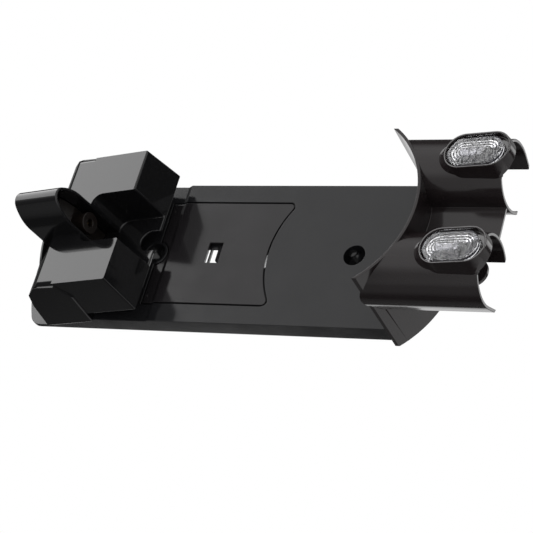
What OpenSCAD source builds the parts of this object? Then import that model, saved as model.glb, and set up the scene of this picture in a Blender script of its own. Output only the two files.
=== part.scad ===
// Wall charging mount of a stick vacuum cleaner.
// Every piece is drawn lying on its back: x runs across the mount, y runs up the wall and
// z stands out of the wall. stand() turns the drawn piece upright, so that the wall is the
// plane y = 0, the front looks along -Y and +Z is up. The origin is midway between the two
// wall screws, on the wall.

/* [Wall screws] */
// Distance between the two wall screws
screw_pitch = 152; // [146:1:160]
// Bore for the shank of a wall screw
screw_bore = 5.5; // [4.5:0.1:6.5]
// Diameter of the well that takes the screw head
well_d = 15.2; // [13:0.1:16]
// Wall round a screw well
well_wall = 1.8; // [1.5:0.1:2.2]
// Solid floor under the countersink
well_floor = 4.2; // [4.1:0.1:5]

/* [Back plate] */
// Width of the front of the plate
plate_w = 110; // [106:1:116]
// How much each side leans in toward the wall
plate_lean = 3; // [1:0.5:3.5]
// From the wall to the front of the plate
plate_depth = 19; // [18:0.5:21]
// Wall thickness of the plate
plate_wall = 2.4; // [2:0.1:2.8]
// From the lower wall screw down to the lower corners
plate_low = 37.7; // [36:0.1:42]
// How far the front drops under the cradle
plate_step = 2; // [1:0.1:2.5]
// Length of the ramp down to the lower front
plate_ramp = 3.3; // [2:0.1:6]
// Length of the plate above the upper wall screw, up to its raised end
plate_high = 71.5; // [70:0.5:78]
// Length of the thin wall flange beyond the raised end, at its middle
flange_len = 30.5; // [24:0.5:36]
// Thickness of the wall flange
flange_t = 3; // [2.4:0.1:3.6]
// Radius of the bowed top edge of the flange
flange_bow = 115; // [105:1:130]
// Radius of the flange's corners
flange_corner = 10; // [6:1:14]
// Thickness of the ribs behind the plate
rib_t = 1.6; // [1.2:0.1:2]

/* [Cover panel] */
// Width of the cover panel
panel_w = 80; // [76:1:84]
// Thickness of the cover panel
panel_t = 2.3; // [2:0.1:2.6]
// From the upper wall screw down to the panel's shoulders
panel_drop = 10; // [10:0.5:14]
// Length of the panel at its middle
panel_len = 77.6; // [70:0.2:84]
// Radius of the bowed lower end of the panel
panel_bow = 71; // [66:1:80]
// Radius of the panel's two lower corners
panel_corner = 3; // [2:0.5:5]
// Length of the panel's low part under the cradle
tongue_len = 7; // [5:0.5:8]
// Gap all round the panel
panel_gap = 1.1; // [0.5:0.1:1.4]
// Width of the latch window
window_w = 16; // [14:0.2:18]
// Height of the latch window
window_h = 10.4; // [9.6:0.2:13]
// From the panel's shoulders down to the middle of the window
window_drop = 37; // [34:0.2:42]

/* [Cradle] */
// Lean of the cradle's face to the wall
cradle_tilt = 10.8; // [9:0.2:12]
// From the wall to the lower edge of the face
face_out = 66.7; // [64:0.1:70]
// From the upper wall screw down to the lower edge of the face
face_drop = 1.6; // [1:0.1:2.5]
// Length of the face
face_len = 60.5; // [59:0.5:64]
// Width of the face
face_w = 103.2; // [100:0.2:106]
// Depth of the box from the face to its free rim
rim_depth = 36; // [34:0.5:38]
// Depth of the box from the face to its seat on the plate
seat_depth = 43.5; // [42:0.5:45]
// How far up the face the seat begins
seat_start = 42; // [41:0.5:44]
// How far the lower end wall slopes out to its rim
end_draft = 1.7; // [1:0.1:2.5]
// First facet of the bevel at the top end, along the face
break_run = 5; // [3:0.5:7]
// First facet of the bevel, down from the face
break_drop = 3; // [1.5:0.5:3.5]
// Whole bevel at the top end, along the face
bevel_run = 13.3; // [12:0.1:14.5]
// Whole bevel at the top end, down from the face
bevel_drop = 9; // [8:0.5:11]
// Shoulder under the bevel, along the face
shoulder_run = 4.5; // [3.5:0.1:6]
// Shoulder under the bevel, down
shoulder_drop = 11.4; // [9:0.2:12]
// Wall thickness of the cradle
cradle_wall = 2.2; // [1.8:0.1:2.6]
// Width of the slot between the two lobes
slot_w = 39; // [36:0.5:42]
// Radius at the inner end of the slot
slot_corner = 8; // [6:0.5:8.5]
// Radius of the screwdriver notch in the floor of the slot
notch_r = 7.5; // [7:0.1:8.5]
// How far the notch reaches up past the axis of the upper wall screw
notch_past = 4.5; // [3.5:0.1:6]
// How proud the side cheeks stand
cheek_t = 1.2; // [0.8:0.1:1.6]

/* [Plug hood] */
// Outer width of the hood
hood_w = 24; // [22:0.5:27]
// Height of the hood above the face
hood_h = 32.5; // [30:0.5:35]
// Radius of the hood's crown
crown_r = 7; // [6:0.1:8]
// Height of the hood's upright flanks over the face
flank_h = 10; // [8:0.5:12]
// Where the hood's mouth is, up the face
hood_start = 36; // [35:0.5:37]
// Length of the hood
hood_len = 38.5; // [36:0.5:42]
// Wall thickness of the hood
hood_wall = 2; // [1.6:0.1:2.4]
// Radius of the low web that crosses the hood's top end
end_web_r = 72; // [60:1:90]
// How far the web's top lies under the face
end_web_low = 3.3; // [2.5:0.1:5]
// Thickness of that web
end_web_t = 1.6; // [1.2:0.1:2]
// Diameter of the barrel that holds the plug
barrel_d = 15; // [13:0.5:16]
// Length of the barrel
barrel_len = 12; // [9:0.5:13]
// Depth of the barrel's axis under the face
barrel_drop = 6; // [5:0.5:8]
// Bore for the plug
plug_bore = 5.6; // [5:0.1:6.4]
// Length of the bore
plug_deep = 20; // [16:0.5:22]
// Diameter of the centre pin
pin_d = 1.7; // [1.4:0.1:2.2]

/* [Tool holder] */
// Inner radius of the curved shelf
shelf_r = 70; // [68:0.5:76]
// Thickness of the shelf
shelf_t = 2; // [1.6:0.1:2.4]
// From the wall to the front edge of the shelf
shelf_depth = 82; // [80:0.5:86]
// How far the shelf stands past each side of the plate
shelf_over = 1.3; // [0.5:0.1:3]
// Outer radius of each tube
tube_r = 23.7; // [22:0.1:24.5]
// Wall thickness of the tubes
tube_wall = 2.2; // [1.8:0.1:2.6]
// Distance between the axes of the two tubes
tube_pitch = 69.5; // [68:0.5:72]
// From the wall to the axes of the tubes
tube_out = 58.8; // [56:0.2:60]
// How far the tubes reach below the middle of the shelf
tube_reach = 50; // [46:0.1:56]
// Angle of the open side of each tube
tube_open = 102; // [90:2:116]
// Slant of the tubes' free ends
tube_slant = 2; // [0:0.5:5]
// Thickness of the web between the tubes
web_t = 2; // [1.6:0.1:2.4]
// Length of the wall foot below the middle of the shelf
foot_reach = 21; // [16:0.5:28]
// Width of the wall foot
foot_w = 22; // [18:0.5:28]

/* [Oval cups] */
// Length of a cup's rim
cup_len = 45.2; // [43:0.2:48]
// Width of a cup's rim
cup_w = 25.7; // [24:0.1:27]
// Lean of a cup's rim to the wall
cup_tilt = 6.5; // [5:0.5:8]
// Angle by which a cup's walls spread toward the tube
cup_draft = 7; // [4:0.5:9]
// Angle of the sloping nose at a cup's upper end
cup_nose = 57; // [45:1:60]
// From the wall to the middle of the rim
cup_out = 88.6; // [87.8:0.2:90]
// From the end of the tube up to the middle of the cup
cup_from_end = 16.7; // [15:0.1:19]
// Thickness of the cup's rim
cup_wall = 1.2; // [1:0.1:1.6]
// Depth of the cup
cup_deep = 4; // [3.6:0.1:4.6]
// Floor under the lens tray
cup_floor = 1.4; // [1.2:0.1:2]
// Gap round the lens
lens_gap = 0.7; // [0.4:0.1:1]
// How much wider that gap is at the lower end
lens_short = 2; // [1:0.1:3]
// How far the lens lies below the rim
lens_sunk = 0.3; // [0.1:0.1:0.8]
// Thickness of the lens tray
tray_t = 0.9; // [0.7:0.1:1.2]
// Thickness of the clear skin over the tray
skin_t = 1.4; // [1:0.1:1.6]
// Outer diameter of the ring post in the tray
post_d = 6.4; // [5:0.2:7]
// From the middle of the cup down to the ring post
post_low = 6; // [5:0.5:8]

/* [Assembly screws] */
// Thread diameter of the assembly screws
thread_d = 3; // [2.6:0.1:3.4]
// Length of an assembly screw under its head
thread_len = 11; // [9:0.5:12]
// Head diameter
head_d = 6.4; // [5.6:0.2:7]
// Head height
head_h = 1.9; // [1.6:0.1:2.1]
// Diameter of the posts that take the screws
post_w = 8; // [7:0.2:9]

/* [Hidden] */
$fn = 64;
far = 400;
fit = 0.3;
skim = 0.1;
sides = [-1, 1];

// Heights on the wall
upper_y = screw_pitch / 2;
lower_y = -screw_pitch / 2;
corner_y = lower_y - plate_low;
raised_y = upper_y + plate_high;
top_y = raised_y + flange_len;
bow_y = corner_y + sqrt(pow(shelf_r - fit, 2) - pow(plate_w / 2, 2));
shelf_low = bow_y - shelf_r - shelf_t;
shoulder_y = upper_y - panel_drop;
panel_end = shoulder_y - panel_len;
tube_end = shelf_low - tube_reach;
cup_y = tube_end + cup_from_end;

// The cradle's own frame: u runs up its face, n stands out of the face
face_y = upper_y - face_drop;
seat_low_y = face_y + seat_start * cos(cradle_tilt) - seat_depth * sin(cradle_tilt);
lip_t = panel_t;
low_front = plate_depth - plate_step;
half_w = plate_w / 2;
slot_depth = rim_depth - cradle_wall;
crown_rise = hood_h - crown_r - flank_h;
arch_r = (pow(hood_w / 2, 2) - pow(crown_r, 2) + pow(crown_rise, 2)) / (hood_w - 2 * crown_r);
hood_end = hood_start + hood_len;
barrel_end = hood_start + barrel_len;
top_u = (raised_y - face_y + seat_depth * sin(cradle_tilt)) / cos(cradle_tilt);
pilot_r = thread_d / 2 + skim;

// Behind the plate: rails beside the panel, ribs beside the wells, ledges and the latch
rail_x = panel_w / 2 + 4;
rib_low = 4;
rib_off = 14;
ledge_lap = 3.3;
ledge_open_x = -9.5;
ledge_open_w = 11;
latch_free = 1.2;
latch_z = plate_depth - panel_t - lip_t - latch_free;
latch_past = 3.5;
prong_w = 1.2;
dimple = [34.2, shoulder_y + 4.1];
dimple_r = 1;
dimple_deep = 0.8;

// On the cradle: screw posts, the front edge of the cheeks, chamfers and the rib on one lobe
post_x = 38;
post_rows = [seat_start + 7, seat_start + 28];
cheek_top = [seat_start + 5, -3];
cheek_bend = [seat_start - 3, -15.4];
chamfer = 3;
hood_foot = 6;
block_top = 14;
block_slope = 4;
end_rib_x = -39;
end_rib_t = 1.6;
end_rib_len = 15;

// On the tool holder: the foot under the plate and the open edges of the tubes
foot_z = head_h + 0.5;
foot_t = 2.6;
foot_half = 30;
holder_x = 22;
holder_y = bow_y - 44;
edge_z = -tube_r * cos(tube_open / 2);

module stand() {
    rotate([90, 0, 0]) children();
}

// Puts a child that is drawn in the cradle's own frame into its place
module on_face() {
    translate([0, face_y, face_out]) rotate([-cradle_tilt, 0, 0]) children();
}

// Extrudes an outline drawn in y and z along x, centred
module across(width) {
    rotate([90, 0, 90]) linear_extrude(width, center = true) children();
}

// Extrudes an outline drawn in x and z along y
module along(from, to) {
    translate([0, to, 0]) rotate([90, 0, 0]) linear_extrude(to - from) children();
}

module disc(y, r) {
    translate([0, y]) circle(r, $fn = 160);
}

module band(half, low, high) {
    translate([-half, low]) square([2 * half, high - low]);
}

// Half width of the leaning side walls at a height over the wall
function side_at(z) = half_w - plate_lean * (1 - z / plate_depth);

// Back plate

module plate_plan(inset) {
    intersection() {
        band(half_w + 1, corner_y - far, raised_y - inset);
        union() {
            disc(bow_y, shelf_r - fit - inset);
            band(half_w + 1, bow_y, raised_y);
        }
    }
}

module plate_sides(inset) {
    high = plate_depth * 2;
    polygon([[-side_at(0) + inset, -1], [side_at(0) - inset, -1], [side_at(0) - inset, 0],
        [side_at(high) - inset, high], [-side_at(high) + inset, high], [-side_at(0) + inset, 0]]);
}

// Side view of the front face: the main face, the ramp and the lower part under the cradle
module plate_heights(inset, base) {
    polygon([[bow_y - far, base], [bow_y - far, plate_depth - inset],
        [shoulder_y - plate_ramp, plate_depth - inset], [shoulder_y, low_front - inset],
        [seat_low_y + inset, low_front - inset], [seat_low_y + inset, base]]);
}

// A layer between two depths under the front face, which follows the ramp
module front_layer(top, bottom) {
    across(plate_w) polygon([[bow_y - far, plate_depth - bottom], [bow_y - far, plate_depth - top],
        [shoulder_y - plate_ramp, plate_depth - top], [shoulder_y, low_front - top],
        [upper_y, low_front - top], [upper_y, low_front - bottom],
        [shoulder_y, low_front - bottom], [shoulder_y - plate_ramp, plate_depth - bottom]]);
}

// Sloping seat that the cradle stands on
module seat_solid(inset, base) {
    intersection() {
        across(plate_w * 2) band_yz(seat_low_y + inset, raised_y - inset, base, plate_depth * 2);
        on_face() translate([0, 0, -seat_depth - inset - far / 2]) cube([far, far, far], center = true);
    }
}

module band_yz(low, high, base, top) {
    translate([low, base]) square([high - low, top - base]);
}

module raised(inset, base) {
    intersection() {
        translate([0, 0, base]) linear_extrude(plate_depth * 2) plate_plan(inset);
        along(shelf_low - 10, raised_y + 10) plate_sides(inset);
        union() {
            across(plate_w * 2) plate_heights(inset, base);
            seat_solid(inset, base);
            if (inset > 0)
                across(plate_w * 2) band_yz(seat_low_y - 1, seat_low_y + inset + 1, base, seat_wall_z);
        }
    }
}

// Underside of the seat where it meets the low front
seat_wall_z = face_out - seat_start * sin(cradle_tilt) - seat_depth * cos(cradle_tilt) - 2 * plate_wall;

module flange() {
    half = side_at(0);
    centre_y = top_y - flange_bow;
    corner_x = half - flange_corner;
    corner_h = centre_y + sqrt(pow(flange_bow - flange_corner, 2) - pow(corner_x, 2));
    reach = flange_bow / (flange_bow - flange_corner);
    linear_extrude(flange_t) {
        band(half, raised_y - plate_wall, corner_h);
        for (s = sides) translate([s * corner_x, corner_h]) circle(flange_corner);
        intersection() {
            disc(centre_y, flange_bow);
            polygon([[0, centre_y], [corner_x * reach, centre_y + (corner_h - centre_y) * reach],
                [corner_x * reach, top_y + 1], [-corner_x * reach, top_y + 1],
                [-corner_x * reach, centre_y + (corner_h - centre_y) * reach]]);
            band(half, raised_y - plate_wall, top_y + 1);
        }
    }
}

module well_outer(y, front) {
    translate([0, y, 0]) cylinder(front, r = well_d / 2 + well_wall);
}

module well_inner(y) {
    cone = (well_d - screw_bore) / 2;
    translate([0, y, -1]) cylinder(far, r = screw_bore / 2);
    translate([0, y, well_floor]) cylinder(cone, screw_bore / 2, well_d / 2);
    translate([0, y, well_floor + cone]) cylinder(far, r = well_d / 2);
}

// Outline of the panel's opening, or of the panel itself when gap is the panel's clearance
module panel_plan(gap) {
    half = panel_w / 2 + panel_gap - gap;
    corner = panel_corner + panel_gap - gap;
    bow = panel_bow + gap;
    bow_mid = panel_end - panel_gap - panel_bow;
    corner_x = panel_w / 2 - panel_corner;
    rise = sqrt(pow(bow + corner, 2) - pow(corner_x, 2));
    difference() {
        band(half, panel_end - panel_w, shoulder_y + tongue_len + panel_gap - gap);
        disc(bow_mid, bow);
        disc(upper_y, well_d / 2 + well_wall + gap);
        for (s = sides) difference() {
            polygon([[s * corner_x, bow_mid + rise], [s * (half + 1), bow_mid + rise],
                [s * (half + 1), bow_mid], [0, bow_mid]]);
            translate([s * corner_x, bow_mid + rise]) circle(corner);
        }
    }
}

// Outline of the ledge that the panel lies on, open at the middle of the bowed end
module ledge_plan() {
    bow_mid = panel_end - panel_gap - panel_bow;
    low = panel_end - panel_w / 4;
    high = shoulder_y + tongue_len + ledge_lap;
    for (s = sides) translate([s * (panel_w / 2 + panel_gap) - ledge_lap, low])
        square([2 * ledge_lap, high - low]);
    band(rail_x, high - 2 * ledge_lap, high);
    disc(upper_y, well_d / 2 + well_wall + ledge_lap);
    difference() {
        intersection() {
            disc(bow_mid, panel_bow + ledge_lap);
            band(rail_x, low, panel_end + ledge_lap);
        }
        disc(bow_mid, panel_bow - ledge_lap);
        translate([ledge_open_x, panel_end - 2 * ledge_lap]) square([ledge_open_w, 4 * ledge_lap]);
    }
}

module ledges() {
    intersection() {
        front_layer(panel_t, panel_t + lip_t);
        linear_extrude(plate_depth) ledge_plan();
    }
}

// Snap tongue under the latch window, with a prong and a round-ended hook
module latch_tongue() {
    y = shoulder_y - window_drop;
    low = y - window_h / 2;
    root = window_w / 3;
    hook_w = window_h / 2 - 1;
    hook_h = lip_t + latch_free + panel_t / 2;
    hook_x = hook_w / 2 - root;
    translate([root, low, latch_z]) cube([rail_x - root, window_h + latch_past, lip_t]);
    translate([-window_w / 2, low + window_h - prong_w, latch_z])
        cube([window_w / 2 + root + skim, prong_w, lip_t]);
    translate([hook_x, low + 2 * fit, latch_z]) cube([root + 1 - hook_x, hook_w, hook_h]);
    translate([hook_x, low + 2 * fit + hook_w / 2, latch_z]) cylinder(hook_h, r = hook_w / 2);
}

module ribs() {
    rib_top = plate_depth - plate_wall;
    rail_low = lower_y - rib_off;
    for (s = sides) translate([s * rail_x - rib_t / 2, rail_low, rib_low])
        cube([rib_t, shoulder_y + tongue_len - rail_low, rib_top - rib_low + skim]);
    for (y = [rail_low, lower_y + rib_off, panel_end - 3 * ledge_lap]) cross_rib(y, rib_top);
    cross_rib(upper_y + rib_off, low_front - plate_wall);
}

// Rib across the back of the plate, from wall to wall
module cross_rib(y, top) {
    intersection() {
        translate([-half_w, y, rib_low]) cube([plate_w, rib_t, top - rib_low + skim]);
        raised(0.5, -1);
    }
}

module holder_posts() {
    for (s = sides) translate([s * holder_x, holder_y, foot_z + foot_t])
        cylinder(plate_depth - plate_wall - foot_z - foot_t + skim, r = post_w / 2);
}

// Places of the four cradle posts, in the cradle's own frame
module at_posts() {
    for (s = sides, u = post_rows) translate([s * post_x, u, 0]) children();
}

module back_plate() {
    color([0.12, 0.12, 0.13]) stand() difference() {
        union() {
            difference() {
                union() {
                    raised(0, 0);
                    flange();
                }
                raised(plate_wall, -1);
                translate([0, 0, low_front - 6]) linear_extrude(far) panel_plan(0);
            }
            well_outer(lower_y, plate_depth);
            well_outer(upper_y, low_front);
            ledges();
            latch_tongue();
            difference() {
                ribs();
                translate([0, 0, -1]) linear_extrude(far) panel_plan(0);
            }
            holder_posts();
        }
        well_inner(lower_y);
        well_inner(upper_y);
        for (s = sides) translate([s * holder_x, holder_y, 0])
            cylinder(plate_depth - plate_wall, r = pilot_r);
        on_face() at_posts() translate([0, 0, -seat_depth - 3 * plate_wall])
            cylinder(4 * plate_wall, r = thread_d / 2 + fit);
        along(shelf_low - 10, bow_y - shelf_r + 12) band(foot_half + fit, -1, foot_z + foot_t + fit);
    }
}

// Cover panel

module panel_dimples() {
    for (s = sides) translate([s * dimple[0], dimple[1], low_front - dimple_deep])
        cylinder(panel_t, r = dimple_r);
}

module cover_panel() {
    color([0.14, 0.14, 0.15]) stand() difference() {
        intersection() {
            front_layer(0, panel_t);
            linear_extrude(plate_depth * 2) panel_plan(panel_gap);
        }
        translate([0, shoulder_y - window_drop, plate_depth])
            cube([window_w, window_h, 4 * panel_t], center = true);
        panel_dimples();
    }
}

// Cradle

// Side view of the cradle in its own frame, with its walls drawn in by inset
module cradle_side(inset, base) {
    rim = -rim_depth - base;
    seat = -seat_depth - base;
    polygon([[inset, -inset], [face_len - 0.28 * inset, -inset],
        [face_len + break_run - 0.55 * inset, -break_drop - 0.84 * inset],
        [face_len + bevel_run - 0.82 * inset, -bevel_drop - 0.64 * inset],
        [face_len + bevel_run + shoulder_run - inset, -bevel_drop - shoulder_drop - 0.28 * inset],
        [top_u - inset, seat], [seat_start + inset, seat], [seat_start + inset, rim],
        [-end_draft + inset, rim]]);
}

// End view of the cradle in its own frame: the side walls slope out to the plate's width
module cradle_end(inset) {
    lean = (half_w - face_w / 2) / seat_depth;
    deep = seat_depth + 10;
    polygon([[-face_w / 2 + inset, 1], [face_w / 2 - inset, 1],
        [face_w / 2 - inset, 0], [face_w / 2 + lean * deep - inset, -deep],
        [-face_w / 2 - lean * deep + inset, -deep], [-face_w / 2 + inset, 0]]);
}

module cradle_block(inset, base) {
    intersection() {
        across(2 * plate_w) cradle_side(inset, base);
        along(-20, face_len + 60) cradle_end(inset);
    }
}

module slot_plan(grow) {
    half = slot_w / 2 + grow;
    bend = slot_corner + grow;
    band(half, -20, hood_start - slot_corner);
    band(half - bend, -20, hood_start + grow);
    for (s = sides) translate([s * (half - bend), hood_start - slot_corner]) circle(bend);
}

module slot_solid(grow) {
    translate([0, 0, -slot_depth - grow]) linear_extrude(far / 4) slot_plan(grow);
}

// The hood's arch as an outline in x and n: upright flanks, two wide arcs and a small crown
module arch(inset, foot) {
    half = hood_w / 2 - inset;
    centre = arch_r - hood_w / 2;
    crown = [0, hood_h - crown_r];
    shoulder = crown + [centre, crown_rise] * crown_r / (arch_r - crown_r);
    translate([-half, foot]) square([2 * half, flank_h - foot]);
    intersection() {
        translate([-centre, flank_h]) circle(arch_r - inset, $fn = 200);
        translate([centre, flank_h]) circle(arch_r - inset, $fn = 200);
        translate([-half, flank_h]) square([2 * half, shoulder[1] - flank_h - inset / 2]);
    }
    translate(crown) circle(crown_r - inset);
}

module hood_outer() {
    along(hood_start, hood_end) arch(0, -bevel_drop - shoulder_drop / 2);
    along(hood_start, hood_end - hood_foot) arch(0, -slot_depth - cradle_wall);
}

// Low web across the top end of the hood, which runs out on the bevel at both sides
module hood_end_web() {
    along(hood_end - end_web_t, hood_end) intersection() {
        translate([0, -end_web_low - end_web_r]) circle(end_web_r, $fn = 200);
        band(face_w / 3, -bevel_drop - shoulder_drop / 2, 0);
    }
}

module hood_tunnel() {
    along(hood_start - 1, hood_end - hood_wall) arch(hood_wall, -slot_depth);
}

// Raised cheek on each side wall, near the top end
module cheeks() {
    intersection() {
        across(2 * plate_w) polygon([cheek_top, cheek_bend, [seat_start, -seat_depth],
            [top_u, -seat_depth], [face_len + bevel_run + shoulder_run, -bevel_drop - shoulder_drop],
            [face_len + bevel_run, -bevel_drop], [face_len + break_run, -break_drop], [face_len, -2]]);
        difference() {
            along(-20, face_len + 60) cradle_end(-cheek_t);
            along(-20, face_len + 60) cradle_end(cradle_wall / 2);
        }
    }
}

// Edge chamfer of each lobe above the cheek
module cheek_chamfers() {
    for (s = sides) translate([s * face_w / 2, cheek_top[0] + far / 2, 0]) rotate([0, 45, 0])
        cube([chamfer, far, chamfer], center = true);
}

module cradle_posts() {
    intersection() {
        cradle_block(0.5, 0);
        at_posts() translate([0, 0, -seat_depth]) cylinder(seat_depth, r = post_w / 2);
    }
}

// Small rib on the lower end wall of one lobe
module end_rib() {
    translate([end_rib_x, -1, -1]) across(end_rib_t)
        polygon([[0, 0], [1.6, 0], [1.6, -end_rib_len], [0.5, -end_rib_len]]);
}

module cradle() {
    color([0.16, 0.16, 0.17]) stand() difference() {
        on_face() difference() {
            union() {
                difference() {
                    union() {
                        cradle_block(0, 0);
                        hood_outer();
                        hood_end_web();
                        cheeks();
                    }
                    difference() {
                        cradle_block(cradle_wall, 1);
                        slot_solid(cradle_wall);
                        along(hood_start, hood_end) arch(hood_wall - cradle_wall, -slot_depth - cradle_wall);
                    }
                }
                cradle_posts();
                end_rib();
            }
            slot_solid(0);
            hood_tunnel();
            cheek_chamfers();
            at_posts() translate([0, 0, -seat_depth - 1]) cylinder(thread_len + 2, r = pilot_r);
        }
        translate([0, 0, low_front]) linear_extrude(face_out) {
            translate([0, upper_y + notch_past - notch_r]) circle(notch_r);
            band(notch_r, upper_y - 30, upper_y + notch_past - notch_r);
        }
    }
}

// Plug seat and its pin

module plug_seat() {
    color([0.2, 0.17, 0.15]) stand() on_face() difference() {
        union() {
            along(hood_start + 0.5, barrel_end + 1) translate([0, -barrel_drop]) circle(barrel_d / 2);
            intersection() {
                along(barrel_end, hood_end - hood_wall - fit)
                    arch(hood_wall + fit, -slot_depth + fit);
                across(hood_w) polygon([[barrel_end, -far], [barrel_end, -barrel_drop + barrel_d / 2],
                    [barrel_end + block_slope, block_top], [far, block_top], [far, -far]]);
            }
        }
        along(hood_start - 1, hood_start + plug_deep) translate([0, -barrel_drop]) circle(plug_bore / 2);
    }
}

module charge_pin() {
    color([0.75, 0.68, 0.5]) stand() on_face() {
        along(hood_start + 3, hood_start + plug_deep) translate([0, -barrel_drop]) circle(pin_d / 2);
        along(hood_start + plug_deep - 2, hood_start + plug_deep)
            translate([0, -barrel_drop]) circle(plug_bore / 2 - 0.05);
    }
}

// Tool holder

// The open side is cut level with the wall, which leaves its two edges pointed
module tube_section() {
    difference() {
        circle(tube_r, $fn = 96);
        circle(tube_r - tube_wall, $fn = 96);
        band(far, -far, edge_z);
    }
}

// Puts a child that is drawn in a cup's own frame into its place: z stands out of the rim
module on_rim(s) {
    translate([s * tube_pitch / 2, cup_y, cup_out]) rotate([-cup_tilt, 0, 0]) children();
}

// Oval between two depths under the rim, whose walls may spread: two cones and a prism
module oval(inset, short, top, bottom, spread = 0) {
    half = cup_w / 2 - inset;
    reach = (cup_len - cup_w) / 2;
    upper = half + top * tan(spread);
    lower = half + bottom * tan(spread);
    for (y = [short - reach, reach]) translate([0, y, -bottom]) cylinder(bottom - top, lower, upper);
    along(short - reach, reach) polygon([[-lower, -bottom], [lower, -bottom], [upper, -top], [-upper, -top]]);
}

// Nose that slopes from the upper end of the rim down to the tube
module nose(deep) {
    r = cup_w / 2 - fit;
    intersection() {
        translate([0, cup_len / 2 - r / cos(cup_nose), 0]) rotate([cup_nose, 0, 0])
            cylinder(far, r = r, center = true);
        translate([0, 0, -deep / 2]) cube([cup_w, 2 * cup_len, deep], center = true);
    }
}

// Body of a cup: its sides spread toward the tube, its lower end stays square to the rim
module cup_body(deep) {
    spread = cup_deep / 2;
    intersection() {
        oval(0, 0, 0, deep, cup_draft);
        oval(-spread, spread, 0, deep);
    }
}

// The cup's outer walls run down to the tube, and past its end they follow its roundness
module cup_solid(s) {
    skirt = tube_r * 0.6;
    on_rim(s) cup_body(cup_deep + cup_floor);
    difference() {
        on_rim(s) {
            cup_body(skirt);
            nose(skirt);
        }
        translate([s * tube_pitch / 2, 0, tube_out]) along(tube_end - far / 8, tube_end)
            circle(tube_r, $fn = 96);
        translate([s * tube_pitch / 2, 0, tube_out]) along(tube_end - far / 8, bow_y)
            circle(tube_r - tube_wall / 2, $fn = 96);
    }
}

// One tube, its free end slanted so that the front is a little shorter than the open side
module tube(s) {
    translate([s * tube_pitch / 2, 0, tube_out]) difference() {
        along(tube_end - skim, bow_y) tube_section();
        translate([0, tube_end, edge_z]) rotate([-tube_slant, 0, 0])
            translate([-far / 2, -far / 2, -far / 2]) cube([far, far / 2, far]);
    }
}

module shelf() {
    half = half_w + shelf_over;
    linear_extrude(shelf_depth) difference() {
        intersection() {
            disc(bow_y, shelf_r + shelf_t);
            band(half, bow_y - far, bow_y);
        }
        disc(bow_y, shelf_r);
    }
}

module wall_foot() {
    linear_extrude(flange_t) difference() {
        union() {
            translate([0, shelf_low - foot_reach + foot_w / 2]) circle(foot_w / 2);
            band(foot_w / 2, shelf_low - foot_reach + foot_w / 2, shelf_low + shelf_t);
        }
        disc(bow_y, shelf_r + shelf_t / 2);
    }
}

module inner_foot() {
    translate([0, 0, foot_z]) linear_extrude(foot_t) band(foot_half, shelf_low + shelf_t / 2, holder_y + 8);
}

module tool_holder() {
    color([0.13, 0.12, 0.13]) stand() difference() {
        union() {
            shelf();
            difference() {
                union() {
                    for (s = sides) {
                        tube(s);
                        cup_solid(s);
                    }
                    along(tube_end + 1, bow_y) translate([0, tube_out])
                        square([tube_pitch - 2 * tube_r + tube_wall, web_t], center = true);
                }
                linear_extrude(far) disc(bow_y, shelf_r + shelf_t / 2);
            }
            wall_foot();
            inner_foot();
        }
        for (s = sides) {
            on_rim(s) oval(cup_wall, 0, -1, cup_deep);
            translate([s * holder_x, holder_y, 0]) cylinder(foot_z + foot_t + 1, r = thread_d / 2 + fit);
        }
    }
}

// Lens trays and lenses

// Tray with a ring post and a bar that reach up to the clear skin
module lens_tray(s) {
    low = cup_deep - tray_t / 2;
    reach = low - lens_sunk - skin_t - fit;
    color([0.8, 0.8, 0.82]) stand() on_rim(s) {
        oval(cup_wall + lens_gap / 2, lens_short / 2, cup_deep - tray_t, cup_deep);
        translate([0, -post_low, -low]) difference() {
            cylinder(reach, r = post_d / 2, $fn = 32);
            cylinder(reach + 1, r = post_d / 4, $fn = 32);
        }
        translate([-post_d / 2, 1.2, -low]) cube([post_d, 1.2, reach]);
    }
}

// Clear lens: a skin with a rim that stands on the tray
module lens(s) {
    color([0.85, 0.88, 0.9, 0.6]) stand() on_rim(s) difference() {
        oval(cup_wall + lens_gap, lens_short, lens_sunk, cup_deep - tray_t);
        oval(cup_wall + lens_gap + skin_t, lens_short, lens_sunk + skin_t, cup_deep);
    }
}

module lens_tray_left() {
    lens_tray(-1);
}

module lens_tray_right() {
    lens_tray(1);
}

module lens_left() {
    lens(-1);
}

module lens_right() {
    lens(1);
}

// Assembly screws, driven from behind: the head is at the bottom, the shank points outward
module assembly_screw() {
    difference() {
        translate([0, 0, -head_h]) cylinder(head_h, r = head_d / 2, $fn = 32);
        translate([0, 0, -head_h]) cube([head_d * 0.6, 0.8, 1.4], center = true);
        translate([0, 0, -head_h]) cube([0.8, head_d * 0.6, 1.4], center = true);
    }
    cylinder(thread_len, r = thread_d / 2, $fn = 32);
}

module cradle_screws() {
    color([0.6, 0.6, 0.62]) stand() on_face() at_posts()
        translate([0, 0, -seat_depth - plate_wall]) assembly_screw();
}

module holder_screws() {
    color([0.6, 0.6, 0.62]) stand() for (s = sides)
        translate([s * holder_x, holder_y, foot_z]) assembly_screw();
}

back_plate();
cover_panel();
cradle();
plug_seat();
charge_pin();
tool_holder();
lens_tray_left();
lens_tray_right();
lens_left();
lens_right();
cradle_screws();
holder_screws();
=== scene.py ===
import math

import bmesh
import bpy
from mathutils import Matrix, Vector
from mathutils.bvhtree import BVHTree
from mathutils.kdtree import KDTree


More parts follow.
